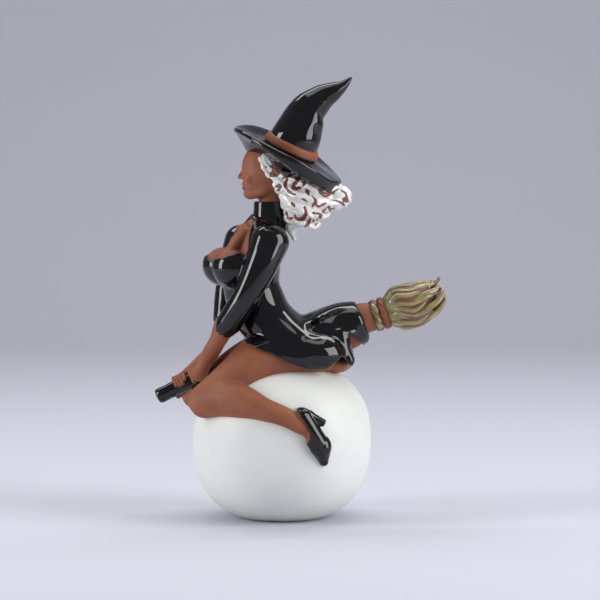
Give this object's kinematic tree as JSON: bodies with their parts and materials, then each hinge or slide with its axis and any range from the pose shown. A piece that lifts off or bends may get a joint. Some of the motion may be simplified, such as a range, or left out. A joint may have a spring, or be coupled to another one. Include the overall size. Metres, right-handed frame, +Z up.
{
  "type": "witch roof figure",
  "caption": "Glazed terracotta witch astride a broom, legs folded against a white ball with a flat foot, in a tall hat and short dress.",
  "frame": {"origin": "centre of the ball's flat foot", "axes": "+Z up to the hat's tip, -X the way the witch faces, +Y towards the witch's right, +X to the broom's straw"},
  "size_m": [0.2334, 0.1536, 0.3525],
  "materials": {
    "clay": "bare fired red clay, matte",
    "black_glaze": "black mirror-gloss glaze",
    "engobe": "white slip, satin",
    "white_glaze": "white gloss glaze, brushed on so that the clay shows in the grooves",
    "straw_glaze": "olive-yellow gloss glaze, brushed on"
  },
  "bodies": {
    "root": {"ball": "engobe", "bodice": "black_glaze", "broom_front_binding": "straw_glaze", "broom_handle": "black_glaze", "broom_rear_binding": "straw_glaze", "broom_straw_cap": "clay", "brush_core": "clay", "collar": "black_glaze", "hair": "white_glaze", "hat_band": "clay", "hat_brim": "black_glaze", "hat_crown": "black_glaze", "head": "clay", "left_hand": "clay", "left_leg": "clay", "left_shoe": "black_glaze", "left_shoe_heel": "black_glaze", "left_side_curl": "white_glaze", "left_sleeve": "black_glaze", "nape_curl": "white_glaze", "pelvis": "clay", "right_hand": "clay", "right_leg": "clay", "right_shoe": "black_glaze", "right_shoe_heel": "black_glaze", "right_side_curl": "white_glaze", "right_sleeve": "black_glaze", "skirt": "black_glaze", "straw_lock_1": "straw_glaze", "straw_lock_2": "straw_glaze", "straw_lock_3": "straw_glaze", "straw_lock_4": "straw_glaze", "straw_lock_5": "straw_glaze", "straw_lock_6": "straw_glaze", "straw_lock_7": "straw_glaze", "torso": "clay"}
  },
  "joints": []
}
